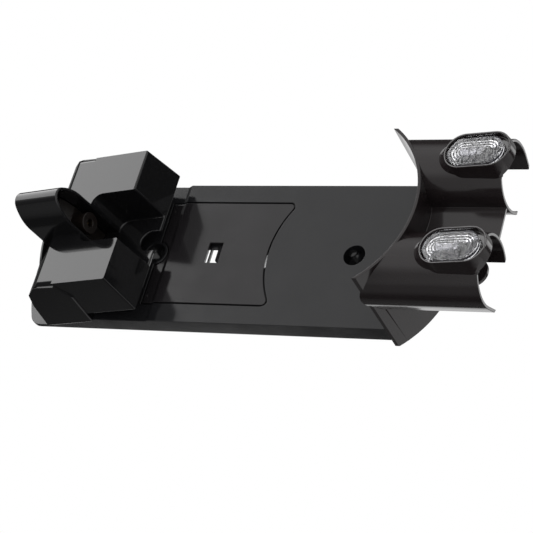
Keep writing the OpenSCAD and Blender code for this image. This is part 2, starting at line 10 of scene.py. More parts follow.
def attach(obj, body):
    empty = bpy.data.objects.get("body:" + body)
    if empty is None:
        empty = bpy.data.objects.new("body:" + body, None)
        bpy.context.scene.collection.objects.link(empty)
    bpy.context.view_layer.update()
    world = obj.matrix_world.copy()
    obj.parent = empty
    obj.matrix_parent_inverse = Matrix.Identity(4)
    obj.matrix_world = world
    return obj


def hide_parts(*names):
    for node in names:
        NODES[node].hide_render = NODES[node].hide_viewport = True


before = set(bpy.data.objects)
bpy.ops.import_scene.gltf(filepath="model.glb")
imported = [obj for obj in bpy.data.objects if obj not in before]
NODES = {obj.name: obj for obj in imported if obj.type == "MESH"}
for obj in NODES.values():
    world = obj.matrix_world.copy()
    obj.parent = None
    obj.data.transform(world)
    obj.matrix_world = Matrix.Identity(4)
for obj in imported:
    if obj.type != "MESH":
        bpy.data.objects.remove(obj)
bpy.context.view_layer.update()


# Camera
# The dock is seen from below and from its left, with its top end turned to the left of the
# picture. The three axes are the camera's own, measured on the dock's straight edges.
CAMERA_PLACE = Vector((-0.6478, -1.0519, -0.6406))
CAMERA_RIGHT = Vector((0.2597, 0.3784, -0.8885))
CAMERA_UP = Vector((0.8454, -0.5338, 0.0197))
CAMERA_AHEAD = Vector((0.4668, 0.7562, 0.4585))
FOCAL_PIXELS = 2051.4
PICTURE_PIXELS = 533
SENSOR = 36.0

camera_data = bpy.data.cameras.new("camera")
camera_data.sensor_width = SENSOR
camera_data.lens = FOCAL_PIXELS / PICTURE_PIXELS * SENSOR
camera_data.clip_start = 0.05
camera = bpy.data.objects.new("camera", camera_data)
bpy.context.scene.collection.objects.link(camera)
turn = Matrix((CAMERA_RIGHT, CAMERA_UP, -CAMERA_AHEAD)).transposed()
camera.matrix_world = Matrix.Translation(CAMERA_PLACE) @ turn.to_4x4()
bpy.context.scene.camera = camera
bpy.context.scene.view_settings.view_transform = "Standard"


# Studio
# A white tent stands in front of the wall, with one wide strip of light above it on the right,
# and the white backdrop lies behind the dock. The rest of the room is dim, so that the black
# plastic shows its edges.
world = bpy.data.worlds.new("studio")
bpy.context.scene.world = world
world.use_nodes = True


def node_of(tree, kind, place=(0, 0), **values):
    """Adds a shader node and sets its properties."""
    node = tree.nodes.new(kind)
    node.location = place
    for key, value in values.items():
        setattr(node, key, value)
    return node


def facing(tree, vector, direction, low, high, bottom, top):
    """A smooth step of how far a direction turns toward another."""
    dot = node_of(tree, "ShaderNodeVectorMath", operation="DOT_PRODUCT")
    dot.inputs[1].default_value = direction
    tree.links.new(vector, dot.inputs[0])
    step = node_of(tree, "ShaderNodeMapRange", interpolation_type="SMOOTHSTEP")
    step.inputs["From Min"].default_value = low
    step.inputs["From Max"].default_value = high
    step.inputs["To Min"].default_value = bottom
    step.inputs["To Max"].default_value = top
    tree.links.new(dot.outputs["Value"], step.inputs["Value"])
    return step.outputs["Result"]


def merged(tree, operation, first, second):
    """Two brightnesses as one, by their sum, product or larger value."""
    math_node = node_of(tree, "ShaderNodeMath", operation=operation)
    tree.links.new(first, math_node.inputs[0])
    tree.links.new(second, math_node.inputs[1])
    return math_node.outputs[0]


STRIP_AXIS = (0.0, 0.187, 0.982)
STRIP_MIDDLE = (0.70, -0.70, 0.134)
STRIP_LIGHT = 3.4
LAMP_MIDDLE = (0.53, -0.68, 0.51)
LAMP_LIGHT = 5.0

sky = world.node_tree
sky.nodes.clear()
sky_out = node_of(sky, "ShaderNodeOutputWorld")
sky_mix = node_of(sky, "ShaderNodeMixShader")
sky_ray = node_of(sky, "ShaderNodeLightPath")
sky_white = node_of(sky, "ShaderNodeBackground")
sky_white.inputs["Color"].default_value = (1, 1, 1, 1)
sky_room = node_of(sky, "ShaderNodeBackground")
sky_room.inputs["Color"].default_value = (1, 1, 1, 1)
sky_way = node_of(sky, "ShaderNodeTexCoord").outputs["Generated"]
tent_front = facing(sky, sky_way, (0, -1, 0), -0.10, 0.60, 0.04, 0.95)
tent_gap = facing(sky, sky_way, (-0.52, -0.43, 0.73), 0.80, 0.98, 1.0, 0.15)
tent = merged(sky, "MULTIPLY", tent_front, tent_gap)
backdrop = facing(sky, sky_way, CAMERA_AHEAD, 0.955, 0.985, 0.0, 1.0)
table = facing(sky, sky_way, (0.145, 0.876, 0.4585), 0.94, 0.98, 0.0, 1.1)
bounce = facing(sky, sky_way, (-0.35, 0.80, -0.48), 0.72, 0.97, 0.0, 0.8)
rear = facing(sky, sky_way, (0.68, 0.68, -0.26), 0.88, 0.97, 0.0, 0.4)
side_wall = facing(sky, sky_way, (-0.90, -0.10, 0.43), 0.80, 1.00, 0.0, 0.25)
strip_foot = facing(sky, sky_way, STRIP_AXIS, 0.46, 0.52, 0.0, 1.0)
strip_top = facing(sky, sky_way, STRIP_AXIS, 0.72, 0.80, 1.0, 0.0)
strip_side = facing(sky, sky_way, STRIP_MIDDLE, 0.48, 0.56, 0.0, STRIP_LIGHT)
strip = merged(sky, "MULTIPLY", merged(sky, "MULTIPLY", strip_foot, strip_top), strip_side)
end_glow = facing(sky, sky_way, (0.52, 0.755, -0.405), 0.982, 0.995, 0.0, 2.0)
shelf_glow = facing(sky, sky_way, (-0.457, 0.792, 0.406), 0.95, 0.995, 0.0, 0.12)
lamp_foot = facing(sky, sky_way, STRIP_AXIS, 0.368, 0.382, 0.0, 1.0)
lamp_top = facing(sky, sky_way, STRIP_AXIS, 0.440, 0.460, 1.0, 0.0)
lamp_side = facing(sky, sky_way, LAMP_MIDDLE, 0.980, 0.996, 0.0, LAMP_LIGHT)
lamp = merged(sky, "MULTIPLY", merged(sky, "MULTIPLY", lamp_foot, lamp_top), lamp_side)
behind = merged(sky, "MAXIMUM", merged(sky, "MAXIMUM", bounce, rear), merged(sky, "MAXIMUM", backdrop, table))
room = merged(sky, "MAXIMUM", merged(sky, "MAXIMUM", tent, side_wall), merged(sky, "MAXIMUM", merged(sky, "MAXIMUM", shelf_glow, end_glow), behind))
sky.links.new(merged(sky, "MAXIMUM", room, merged(sky, "MAXIMUM", strip, lamp)), sky_room.inputs["Strength"])
sky.links.new(sky_ray.outputs["Is Camera Ray"], sky_mix.inputs[0])
sky.links.new(sky_room.outputs[0], sky_mix.inputs[1])
sky.links.new(sky_white.outputs[0], sky_mix.inputs[2])
sky.links.new(sky_mix.outputs[0], sky_out.inputs["Surface"])

FLOOR_DEPTH = -0.85
FLOOR_RADIUS = 0.6
floor_mesh = bpy.data.meshes.new("floor")
floor_ring = [(FLOOR_RADIUS * math.cos(math.radians(3 * k)), FLOOR_RADIUS * math.sin(math.radians(3 * k)), FLOOR_DEPTH)
              for k in range(120)]
floor_mesh.from_pydata(floor_ring, [], [tuple(range(120))])
floor = bpy.data.objects.new("floor", floor_mesh)
bpy.context.scene.collection.objects.link(floor)
floor_paint = bpy.data.materials.new("floor_paint")
floor_paint.use_nodes = True
paint = floor_paint.node_tree
paint.nodes.clear()
paint_out = node_of(paint, "ShaderNodeOutputMaterial")
paint_mix = node_of(paint, "ShaderNodeMixShader")
paint_ray = node_of(paint, "ShaderNodeLightPath")
paint_matt = node_of(paint, "ShaderNodeBsdfDiffuse")
paint_matt.inputs["Color"].default_value = (0.85, 0.85, 0.85, 1)
paint_glow = node_of(paint, "ShaderNodeEmission")
paint.links.new(paint_ray.outputs["Is Camera Ray"], paint_mix.inputs[0])
paint.links.new(paint_matt.outputs[0], paint_mix.inputs[1])
paint.links.new(paint_glow.outputs[0], paint_mix.inputs[2])
paint.links.new(paint_mix.outputs[0], paint_out.inputs["Surface"])
floor_mesh.materials.append(floor_paint)


# Back plate
# A long open-backed tray of polished black plastic, moulded in one piece with its thin wall
# flange, its two screw wells and the ribs behind it. The mould leaves every edge a little
# round, and the gloss is broken by faint waves, haze and dust.
MERGE_DISTANCE = 1e-6
FLAT_ANGLE = math.radians(0.5)
EDGE_ANGLE = math.radians(34)
CURVE_LIMIT = math.cos(math.radians(12))
STRIP_LIMIT = math.cos(math.radians(36))
ROUNDING_TRIES = 12
ROUNDING_SHARES = (1.0, 0.6, 0.3, 0.0)
SPOT_PITCH = 0.0004
NEAR_EDGE = 1.5


def glossy_black(name, colour, roughness, wave):
    """Polished black plastic with faint waves and uneven haze."""
    material = bpy.data.materials.new(name)
    material.use_nodes = True
    tree = material.node_tree
    tree.nodes.clear()
    out = node_of(tree, "ShaderNodeOutputMaterial", (600, 0))
    shader = node_of(tree, "ShaderNodeBsdfPrincipled", (300, 0))
    place = node_of(tree, "ShaderNodeTexCoord", (-900, 0))
    shader.inputs["IOR"].default_value = 1.5
    speck = node_of(tree, "ShaderNodeTexNoise", (-600, 200))
    speck.inputs["Scale"].default_value = 45
    speck.inputs["Detail"].default_value = 4
    tree.links.new(place.outputs["Object"], speck.inputs["Vector"])
    tone = node_of(tree, "ShaderNodeMix", (-300, 300), data_type="RGBA")
    tone.inputs["A"].default_value = (*colour, 1)
    tone.inputs["B"].default_value = (*[c * 1.35 for c in colour], 1)
    tree.links.new(speck.outputs["Fac"], tone.inputs["Factor"])
    tree.links.new(tone.outputs["Result"], shader.inputs["Base Color"])
    haze = node_of(tree, "ShaderNodeMapRange", (-300, 100))
    haze.inputs["From Min"].default_value = 0.3
    haze.inputs["From Max"].default_value = 0.7
    haze.inputs["To Min"].default_value = roughness * 0.8
    haze.inputs["To Max"].default_value = roughness * 1.25
    tree.links.new(speck.outputs["Fac"], haze.inputs["Value"])
    tree.links.new(haze.outputs["Result"], shader.inputs["Roughness"])
    ripple = node_of(tree, "ShaderNodeTexNoise", (-600, -200))
    ripple.inputs["Scale"].default_value = 14
    ripple.inputs["Detail"].default_value = 1
    tree.links.new(place.outputs["Object"], ripple.inputs["Vector"])
    bump = node_of(tree, "ShaderNodeBump", (0, -200))
    bump.inputs["Strength"].default_value = 1.0
    bump.inputs["Distance"].default_value = wave
    tree.links.new(ripple.outputs["Fac"], bump.inputs["Height"])
    tree.links.new(bump.outputs["Normal"], shader.inputs["Normal"])
    tree.links.new(shader.outputs[0], out.inputs["Surface"])
    return material


def placed(name, mesh, material, node):
    """A finished mesh as a piece that stands for its CAD node."""
    mesh.polygons.foreach_set("material_index", [0] * len(mesh.polygons))
    mesh.materials.clear()
    mesh.materials.append(material)
    piece = bpy.data.objects.new(name, mesh)
    bpy.context.scene.collection.objects.link(piece)
    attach(piece, "root")
    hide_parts(node)
    return piece


def crossings(mesh):
    """The middles of the pairs of faces that pass through each other."""
    check = bmesh.new()
    check.from_mesh(mesh)
    bmesh.ops.triangulate(check, faces=check.faces)
    faces = list(check.faces)
    ends = [{corner.index for corner in face.verts} for face in faces]
    shape = BVHTree.FromBMesh(check)
    found = [(faces[first].calc_center_median() + faces[second].calc_center_median()) / 2
             for first, second in shape.overlap(shape)
             if first < second and not ends[first] & ends[second]]
    check.free()
    return found


def edge_runs(work):
    """The sharp edges of a mesh, each with the number of the unbroken run it belongs to."""
    run = {edge.index: edge.index for edge in work.edges if edge.calc_face_angle(0) > EDGE_ANGLE}

    def head(index):
        while run[index] != index:
            index = run[index]
        return index

    for corner in work.verts:
        ends = [edge.index for edge in corner.link_edges if edge.index in run]
        if len(ends) == 2:
            run[head(ends[0])] = head(ends[1])
    return {index: head(index) for index in run}


def even_shading(mesh):
    """Shades flat faces flat and turns the shading only over rounded edges and curves."""
    mesh.shade_smooth()
    round_corner = [[] for corner in mesh.vertices]
    for face in mesh.polygons:
        for corner in face.vertices:
            round_corner[corner].append(face)
    pull = [face.normal * face.area for face in mesh.polygons]
    normals = []
    for face in mesh.polygons:
        for corner in face.vertices:
            total = Vector()
            for other in round_corner[corner]:
                limit = STRIP_LIMIT if face.material_index or other.material_index else CURVE_LIMIT
                if other.normal.dot(face.normal) > limit:
                    total += pull[other.index]
            normals.append(total.normalized())
    mesh.normals_split_custom_set(normals)


def softened(node, radius):
    """A CAD solid's mesh with its sharp edges rounded, less so on a run that has no room."""
    work = bmesh.new()
    work.from_mesh(NODES[node].data)
    bmesh.ops.remove_doubles(work, verts=work.verts, dist=MERGE_DISTANCE)
    bmesh.ops.dissolve_limit(work, angle_limit=FLAT_ANGLE, verts=work.verts, edges=work.edges)
    work.edges.ensure_lookup_table()
    work.edges.index_update()
    run_of = edge_runs(work)
    length = dict.fromkeys(run_of.values(), 0.0)
    spots = []
    for index, run in run_of.items():
        start, end = [corner.co.copy() for corner in work.edges[index].verts]
        length[run] += (end - start).length
        steps = max(1, math.ceil((end - start).length / SPOT_PITCH))
        spots += [(start.lerp(end, k / steps), run) for k in range(steps + 1)]
    tree = KDTree(len(spots))
    for number, (spot, run) in enumerate(spots):
        tree.insert(spot, number)
    tree.balance()
    weights = [0.0] * len(work.edges)
    mesh = bpy.data.meshes.new(node + "_soft")
    work.to_mesh(mesh)
    work.free()
    mesh.attributes.new("bevel_weight_edge", "FLOAT", "EDGE")
    draft = bpy.data.objects.new(node + "_soft", mesh)
    bpy.context.scene.collection.objects.link(draft)
    bevel = draft.modifiers.new("round", "BEVEL")
    bevel.width = radius
    bevel.segments = 3
    bevel.limit_method = "WEIGHT"
    bevel.use_clamp_overlap = False
    bevel.material = 1
    mesh.materials.append(None)
    mesh.materials.append(None)
    level = dict.fromkeys(length, 0)
    for try_number in range(ROUNDING_TRIES):
        for index, run in run_of.items():
            weights[index] = ROUNDING_SHARES[level[run]]
        mesh.attributes["bevel_weight_edge"].data.foreach_set("value", weights)
        mesh.update()
        graph = bpy.context.evaluated_depsgraph_get()
        graph.update()
        result = bpy.data.meshes.new_from_object(draft.evaluated_get(graph))
        tight = set()
        for middle in crossings(result):
            near = {spots[number][1] for place, number, gap in tree.find_range(middle, radius * NEAR_EDGE)}
            near = [run for run in near if level[run] < len(ROUNDING_SHARES) - 1]
            if near:
                tight.add(min(near, key=lambda run: (length[run], run)))
        if not tight:
            break
        for run in tight:
            level[run] += 1
    bpy.data.objects.remove(draft)
    even_shading(result)
    return result


HOOK_HALF = 0.009
HOOK_LOW = 0.0243
HOOK_HIGH = 0.0310
HOOK_FRONT = -0.0169
HOOK_SLOPE = 0.58


def sloped_hook(mesh):
    """Slopes the front of the latch's hook, so that the panel's edge rides up on it."""
    for corner in mesh.vertices:
        place = corner.co
        if abs(place.x) < HOOK_HALF and place.y < HOOK_FRONT and HOOK_LOW < place.z < HOOK_HIGH:
            place.y += (place.z - HOOK_LOW) * HOOK_SLOPE
    even_shading(mesh)
    return mesh


plate_black = glossy_black("plate_black", (0.010, 0.010, 0.011), 0.10, 0.00002)
placed("plate_shell", sloped_hook(softened("back_plate", 0.0003)), plate_black, "back_plate")


# Cover panel
# A thin panel of the same plastic that clips into the plate over the cord space.
panel_black = glossy_black("panel_black", (0.012, 0.011, 0.012), 0.10, 0.00002)
placed("panel_cover", softened("cover_panel", 0.0003), panel_black, "cover_panel")


# Cradle
# The tilted box that carries the vacuum, with its two lobes and the arched hood over the
# charging plug. One moulding with the highest polish of all.
LIP_SECTION = ((-0.03297, 0.0667), (-0.0331, 0.0656), (-0.0330, 0.0655), (-0.0325, 0.0655), (-0.0324, 0.0656),
               (-0.0324, 0.0667))
LIP_RUNS = ((-0.0375, -0.0105), (0.0085, 0.0368))


def rail(section, start, end):
    """A straight bar across the dock with the given section."""
    shape = bmesh.new()
    rings = [[shape.verts.new((across, deep, high)) for deep, high in section] for across in (start, end)]
    for k in range(len(section)):
        after = (k + 1) % len(section)
        shape.faces.new((rings[0][k], rings[0][after], rings[1][after], rings[1][k]))
    for ring in rings:
        shape.faces.new(ring)
    bmesh.ops.recalc_face_normals(shape, faces=shape.faces)
    return shape


def joined(mesh, details, strip=0):
    """A mesh with moulded details added to it."""
    whole = bmesh.new()
    whole.from_mesh(mesh)
    for detail in details:
        for face in detail.faces:
            face.material_index = strip
        extra = bpy.data.meshes.new("detail")
        detail.to_mesh(extra)
        detail.free()
        whole.from_mesh(extra)
        bpy.data.meshes.remove(extra)
    whole.to_mesh(mesh)
    whole.free()
    even_shading(mesh)
    return mesh


cradle_black = glossy_black("cradle_black", (0.006, 0.006, 0.0065), 0.06, 0.00001)
cradle_lip = [rail(LIP_SECTION, start, end) for start, end in LIP_RUNS]
placed("cradle_box", joined(softened("cradle", 0.0012), cradle_lip), cradle_black, "cradle")


# Plug seat and pin
# A dark brown nylon barrel that grips the charging plug, with a plated pin in its bore. Its colour is its own dark
# brown, made darker still as painted shade for the inside of the hood.
# Painted shade: the barrel's colour is set near black to stand in for the shade inside the hood.
seat_brown_and_shade = glossy_black("seat_brown_and_shade", (0.006, 0.004, 0.003), 0.45, 0.00002)
placed("seat_barrel", softened("plug_seat", 0.0004), seat_brown_and_shade, "plug_seat")


def worn_metal(name, colour, roughness, scale, dent=0.0):
    """Plated metal whose polish is worn unevenly and whose face may be dented."""
    material = bpy.data.materials.new(name)
    material.use_nodes = True
    tree = material.node_tree
    shader = tree.nodes["Principled BSDF"]
    shader.inputs["Metallic"].default_value = 1.0
    place = node_of(tree, "ShaderNodeTexCoord", (-900, 0))
    cloud = node_of(tree, "ShaderNodeTexNoise", (-600, 0))
    cloud.inputs["Scale"].default_value = scale
    cloud.inputs["Detail"].default_value = 3
    tree.links.new(place.outputs["Object"], cloud.inputs["Vector"])
    tone = node_of(tree, "ShaderNodeMix", (-300, 200), data_type="RGBA")
    tone.inputs["A"].default_value = (*[c * 0.8 for c in colour], 1)
    tone.inputs["B"].default_value = (*colour, 1)
    tree.links.new(cloud.outputs["Fac"], tone.inputs["Factor"])
    tree.links.new(tone.outputs["Result"], shader.inputs["Base Color"])
    haze = node_of(tree, "ShaderNodeMapRange", (-300, -100))
    haze.inputs["To Min"].default_value = roughness * 0.7
    haze.inputs["To Max"].default_value = roughness * 1.3
    tree.links.new(cloud.outputs["Fac"], haze.inputs["Value"])
    tree.links.new(haze.outputs["Result"], shader.inputs["Roughness"])
    bump = node_of(tree, "ShaderNodeBump", (-100, -300))
    bump.inputs["Distance"].default_value = dent
    tree.links.new(cloud.outputs["Fac"], bump.inputs["Height"])
    tree.links.new(bump.outputs["Normal"], shader.inputs["Normal"])
    return material


pin_brass = worn_metal("pin_brass", (0.72, 0.55, 0.30), 0.22, 400)
placed("pin_contact", softened("charge_pin", 0.0002), pin_brass, "charge_pin")


# Tool holder
# The curved shelf with its two open tubes and the two oval cups, in one moulding of a slightly
# warmer black.
TUBE_ACROSS = 0.03475
TUBE_OUT = -0.0588
TUBE_RADIUS = 0.0237
TUBE_WALL = 0.0026
TUBE_TOP = -0.1150
FLAT_FROM = math.radians(20.5)
FLAT_STRETCH = {-1: 1.2, 1: 1.0}


def straightened(mesh):
    """Lets each tube's free side run on straight toward the wall instead of round."""
    for corner in mesh.vertices:
        side = -1 if corner.co.x < 0 else 1
        across = side * corner.co.x - TUBE_ACROSS
        deep = corner.co.y - TUBE_OUT
        reach = math.hypot(across, deep)
        swing = math.atan2(deep, across)
        on_wall = TUBE_RADIUS - TUBE_WALL < reach < TUBE_RADIUS + 0.0002
        if on_wall and swing > FLAT_FROM and swing < math.pi / 3 and corner.co.z < TUBE_TOP:
            run = TUBE_RADIUS * (swing - FLAT_FROM) * FLAT_STRETCH[side]
            across = reach * math.cos(FLAT_FROM) - run * math.sin(FLAT_FROM)
            deep = reach * math.sin(FLAT_FROM) + run * math.cos(FLAT_FROM)
            corner.co.x = side * (TUBE_ACROSS + across)
            corner.co.y = TUBE_OUT + deep
    even_shading(mesh)
    return mesh


CUP_MIDDLE = Vector((0.03475, -0.0886, -0.17619))
CUP_ALONG = Vector((0, 0.1132, 0.9936))
CUP_OUT = Vector((0, -0.9936, 0.1132))
OVAL_TURN = 96


def cup_point(side, across, along, depth):
    """A point of a cup, from its place on the rim and its depth below it."""
    middle = Vector((side * CUP_MIDDLE.x, CUP_MIDDLE.y, CUP_MIDDLE.z))
    return middle + Vector((across, 0, 0)) + CUP_ALONG * along - CUP_OUT * depth


def oval_loop(half, low, high, inset, turn_count=OVAL_TURN):
    """The outline of an oval with straight sides, drawn in by an inset."""
    points = []
    for k in range(turn_count):
        angle = 2 * math.pi * k / turn_count
        centre = high if math.sin(angle) >= 0 else low
        points.append(((half - inset) * math.cos(angle), centre + (half - inset) * math.sin(angle)))
    return points


def lofted(side, loops, closed_ends=True):
    """A skin over loops of points given across, along and deep, with lids or running back into itself."""
    shape = bmesh.new()
    rings = [[shape.verts.new(cup_point(side, *point)) for point in loop] for loop in loops]
    after_each = rings[1:] if closed_ends else rings[1:] + rings[:1]
    for first, second in zip(rings, after_each):
        for k in range(len(first)):
            after = (k + 1) % len(first)
            shape.faces.new((first[k], first[after], second[after], second[k]))
    if closed_ends:
        shape.faces.new(list(reversed(rings[0])))
        shape.faces.new(rings[-1])
    bmesh.ops.recalc_face_normals(shape, faces=shape.faces)
    return shape


RIM_HALF = 0.01285
RIM_REACH = 0.00975
RIM_SECTION = ((0.0000, 0.0001), (0.0000, 0.0000), (0.0003, -0.0002), (0.0008, -0.0002), (0.0012, 0.0000),
               (0.0012, 0.0001))


def cup_rim(side):
    """The raised bead that runs round a cup's mouth."""
    return lofted(side, [[(x, y, depth) for x, y in oval_loop(RIM_HALF, -RIM_REACH, RIM_REACH, inset)]
                         for inset, depth in RIM_SECTION], False)


holder_black = glossy_black("holder_black", (0.014, 0.011, 0.0115), 0.12, 0.00002)
holder_mesh = joined(straightened(softened("tool_holder", 0.0005)), [cup_rim(-1), cup_rim(1)])
placed("holder_tubes", holder_mesh, holder_black, "tool_holder")


# Lens trays
# A metallised bed fills the foot of each oval cup. It has stepped rings that follow the oval, a
# ring post and a short bar, as a lamp reflector has.
TRAY_HALF = 0.0102
TRAY_LOW = -0.0066
TRAY_HIGH = 0.0103
TRAY_TOP = 0.0031
TRAY_FOOT = 0.0040
STEP_WIDTH = 0.0011
STEP_DEPTH = 0.0006
POST_ALONG = -0.006
POST_RADIUS = 0.0032
POST_BORE = 0.0016
POST_TOP = 0.0020
BAR_LOW = 0.0012
BAR_HIGH = 0.0024
BAR_HALF = 0.0032


def ring_of(radius, depth, along=0.0, count=32):
    """A round loop of a cup piece."""
    return [(radius * math.cos(2 * math.pi * k / count), along + radius * math.sin(2 * math.pi * k / count), depth)
            for k in range(count)]


def tray_mesh(name, side):
    """The bed with its steps, its ring post and its bar."""
    def oval_at(inset, depth):
        return [(x, y, depth) for x, y in oval_loop(TRAY_HALF, TRAY_LOW, TRAY_HIGH, inset)]
    loops = [oval_at(0, TRAY_FOOT), oval_at(0, TRAY_TOP)]
    steps = int((TRAY_HALF - STEP_WIDTH) / STEP_WIDTH)
    for k in range(1, steps):
        loops.append(oval_at(k * STEP_WIDTH - 0.0002, TRAY_TOP + STEP_DEPTH))
        loops.append(oval_at(k * STEP_WIDTH, TRAY_TOP))
    shape = lofted(side, loops)
    mesh = bpy.data.meshes.new(name)
    post_foot = TRAY_TOP + STEP_DEPTH / 2
    post = lofted(side, [ring_of(POST_RADIUS, post_foot, POST_ALONG), ring_of(POST_RADIUS, POST_TOP + 0.0003, POST_ALONG),
                         ring_of(POST_RADIUS - 0.0003, POST_TOP, POST_ALONG), ring_of(POST_BORE + 0.0003, POST_TOP, POST_ALONG),
                         ring_of(POST_BORE, POST_TOP + 0.0003, POST_ALONG), ring_of(POST_BORE, post_foot - 0.0001, POST_ALONG)])
    bar_plan = [(-BAR_HALF, BAR_LOW), (BAR_HALF, BAR_LOW), (BAR_HALF, BAR_HIGH), (-BAR_HALF, BAR_HIGH)]
    bar = lofted(side, [[(x, y, post_foot) for x, y in bar_plan], [(x, y, POST_TOP) for x, y in bar_plan]])
    whole = bmesh.new()
    for part in (shape, post, bar):
        part.to_mesh(mesh)
        part.free()
        whole.from_mesh(mesh)
    whole.to_mesh(mesh)
    whole.free()
    return mesh


RING_PLACE = (0.03475, -0.0886, -0.1660)
RING_SCALE = 230
POST_SHADE_RADIUS = 0.0054


def cup_silver(name):
    """Silvered plastic with turned rings from the cup's upper end, and painted shade in a dark ring round the foot of
    the ring post.
    """
    material = worn_metal(name, (0.38, 0.38, 0.40), 0.20, 600, 0.0004)
    tree = material.node_tree
    shader = tree.nodes["Principled BSDF"]
    place = node_of(tree, "ShaderNodeTexCoord", (-1500, 0))
    both = node_of(tree, "ShaderNodeVectorMath", (-1300, 0), operation="ABSOLUTE")
    tree.links.new(place.outputs["Object"], both.inputs[0])
    sides = node_of(tree, "ShaderNodeSeparateXYZ", (-1100, 0))
    tree.links.new(both.outputs[0], sides.inputs[0])
    same = node_of(tree, "ShaderNodeCombineXYZ", (-900, 0))
    for axis in "XYZ":
        tree.links.new(sides.outputs[axis], same.inputs[axis])
    from_end = node_of(tree, "ShaderNodeVectorMath", (-700, 0), operation="SUBTRACT")
    from_end.inputs[1].default_value = [abs(value) for value in RING_PLACE]
    tree.links.new(same.outputs[0], from_end.inputs[0])
    rings = node_of(tree, "ShaderNodeTexWave", (-500, 0), wave_type="RINGS", rings_direction="SPHERICAL")
    rings.inputs["Scale"].default_value = RING_SCALE
    rings.inputs["Distortion"].default_value = 3.0
    rings.inputs["Detail"].default_value = 3
    rings.inputs["Detail Scale"].default_value = 2.0
    tree.links.new(from_end.outputs[0], rings.inputs["Vector"])
    # Painted shade: the silver is darkened round the foot of the ring post, down to 0.08 of its tone.
    from_post = node_of(tree, "ShaderNodeVectorMath", (-700, -300), operation="DISTANCE")
    post = cup_point(1, 0, POST_ALONG, TRAY_TOP)
    from_post.inputs[1].default_value = [abs(value) for value in post]
    tree.links.new(same.outputs[0], from_post.inputs[0])
    post_shade = node_of(tree, "ShaderNodeMapRange", (-500, -300), interpolation_type="SMOOTHSTEP")
    post_shade.inputs["From Min"].default_value = POST_RADIUS
    post_shade.inputs["From Max"].default_value = POST_SHADE_RADIUS
    post_shade.inputs["To Min"].default_value = 0.08
    post_shade.inputs["To Max"].default_value = 1.0
    tree.links.new(from_post.outputs["Value"], post_shade.inputs["Value"])
    ring_tone = node_of(tree, "ShaderNodeMapRange", (-300, 0))
    ring_tone.inputs["To Min"].default_value = 0.35
    ring_tone.inputs["To Max"].default_value = 1.0
    tree.links.new(rings.outputs["Fac"], ring_tone.inputs["Value"])
    rings_and_post_shade = merged(tree, "MULTIPLY", ring_tone.outputs["Result"], post_shade.outputs["Result"])
    old = shader.inputs["Base Color"].links[0].from_socket
    darker = node_of(tree, "ShaderNodeVectorMath", (-100, 200), operation="SCALE")
    tree.links.new(old, darker.inputs[0])
    tree.links.new(rings_and_post_shade, darker.inputs["Scale"])
    tree.links.new(darker.outputs[0], shader.inputs["Base Color"])
    return material


tray_silver = cup_silver("tray_silver")
for side_name, side in (("left", -1), ("right", 1)):
    placed("tray_" + side_name, tray_mesh("tray_" + side_name, side), tray_silver,
           "lens_tray_" + side_name)


# Lenses
# A clear insert of acrylic stands in each cup over its tray. Its face is smooth with a rounded
# rim, and its underside is cut in ring facets, with flutes round the skirt.
LENS_HALF = 0.0105
LENS_LOW = -0.0066
LENS_HIGH = 0.0102
LENS_TOP = 0.0003
LENS_FOOT = 0.0031
LENS_SKIN = 0.0014
FACET_WIDTH = 0.0018
FACET_DEPTH = 0.0007
FLUTE_DEPTH = 0.0003


def lens_mesh(name, side):
    """The insert, from the rounded rim of its face to the facets below."""
    def oval_at(inset, depth, flute=0.0):
        return [(x * (1 - flute * (k % 4 < 2) / LENS_HALF), y, depth)
                for k, (x, y) in enumerate(oval_loop(LENS_HALF, LENS_LOW, LENS_HIGH, inset))]
    centre = LENS_HALF - 0.0012
    loops = [oval_at(centre, LENS_TOP), oval_at(0.0040, LENS_TOP), oval_at(0.0012, LENS_TOP + 0.00006),
             oval_at(0.0005, LENS_TOP + 0.00025), oval_at(0.0001, LENS_TOP + 0.0006), oval_at(0, LENS_TOP + 0.001),
             oval_at(0, LENS_FOOT), oval_at(LENS_SKIN, LENS_FOOT, FLUTE_DEPTH),
             oval_at(LENS_SKIN + 0.0003, LENS_TOP + LENS_SKIN, FLUTE_DEPTH)]
    inset = LENS_SKIN + 0.0003
    while inset + FACET_WIDTH < centre:
        loops.append(oval_at(inset + FACET_WIDTH * 0.75, LENS_TOP + LENS_SKIN - FACET_DEPTH))
        inset += FACET_WIDTH
        loops.append(oval_at(inset, LENS_TOP + LENS_SKIN))
    loops.append(oval_at(centre, LENS_TOP + LENS_SKIN))
    shape = lofted(side, loops)
    mesh = bpy.data.meshes.new(name)
    shape.to_mesh(mesh)
    shape.free()
    return mesh


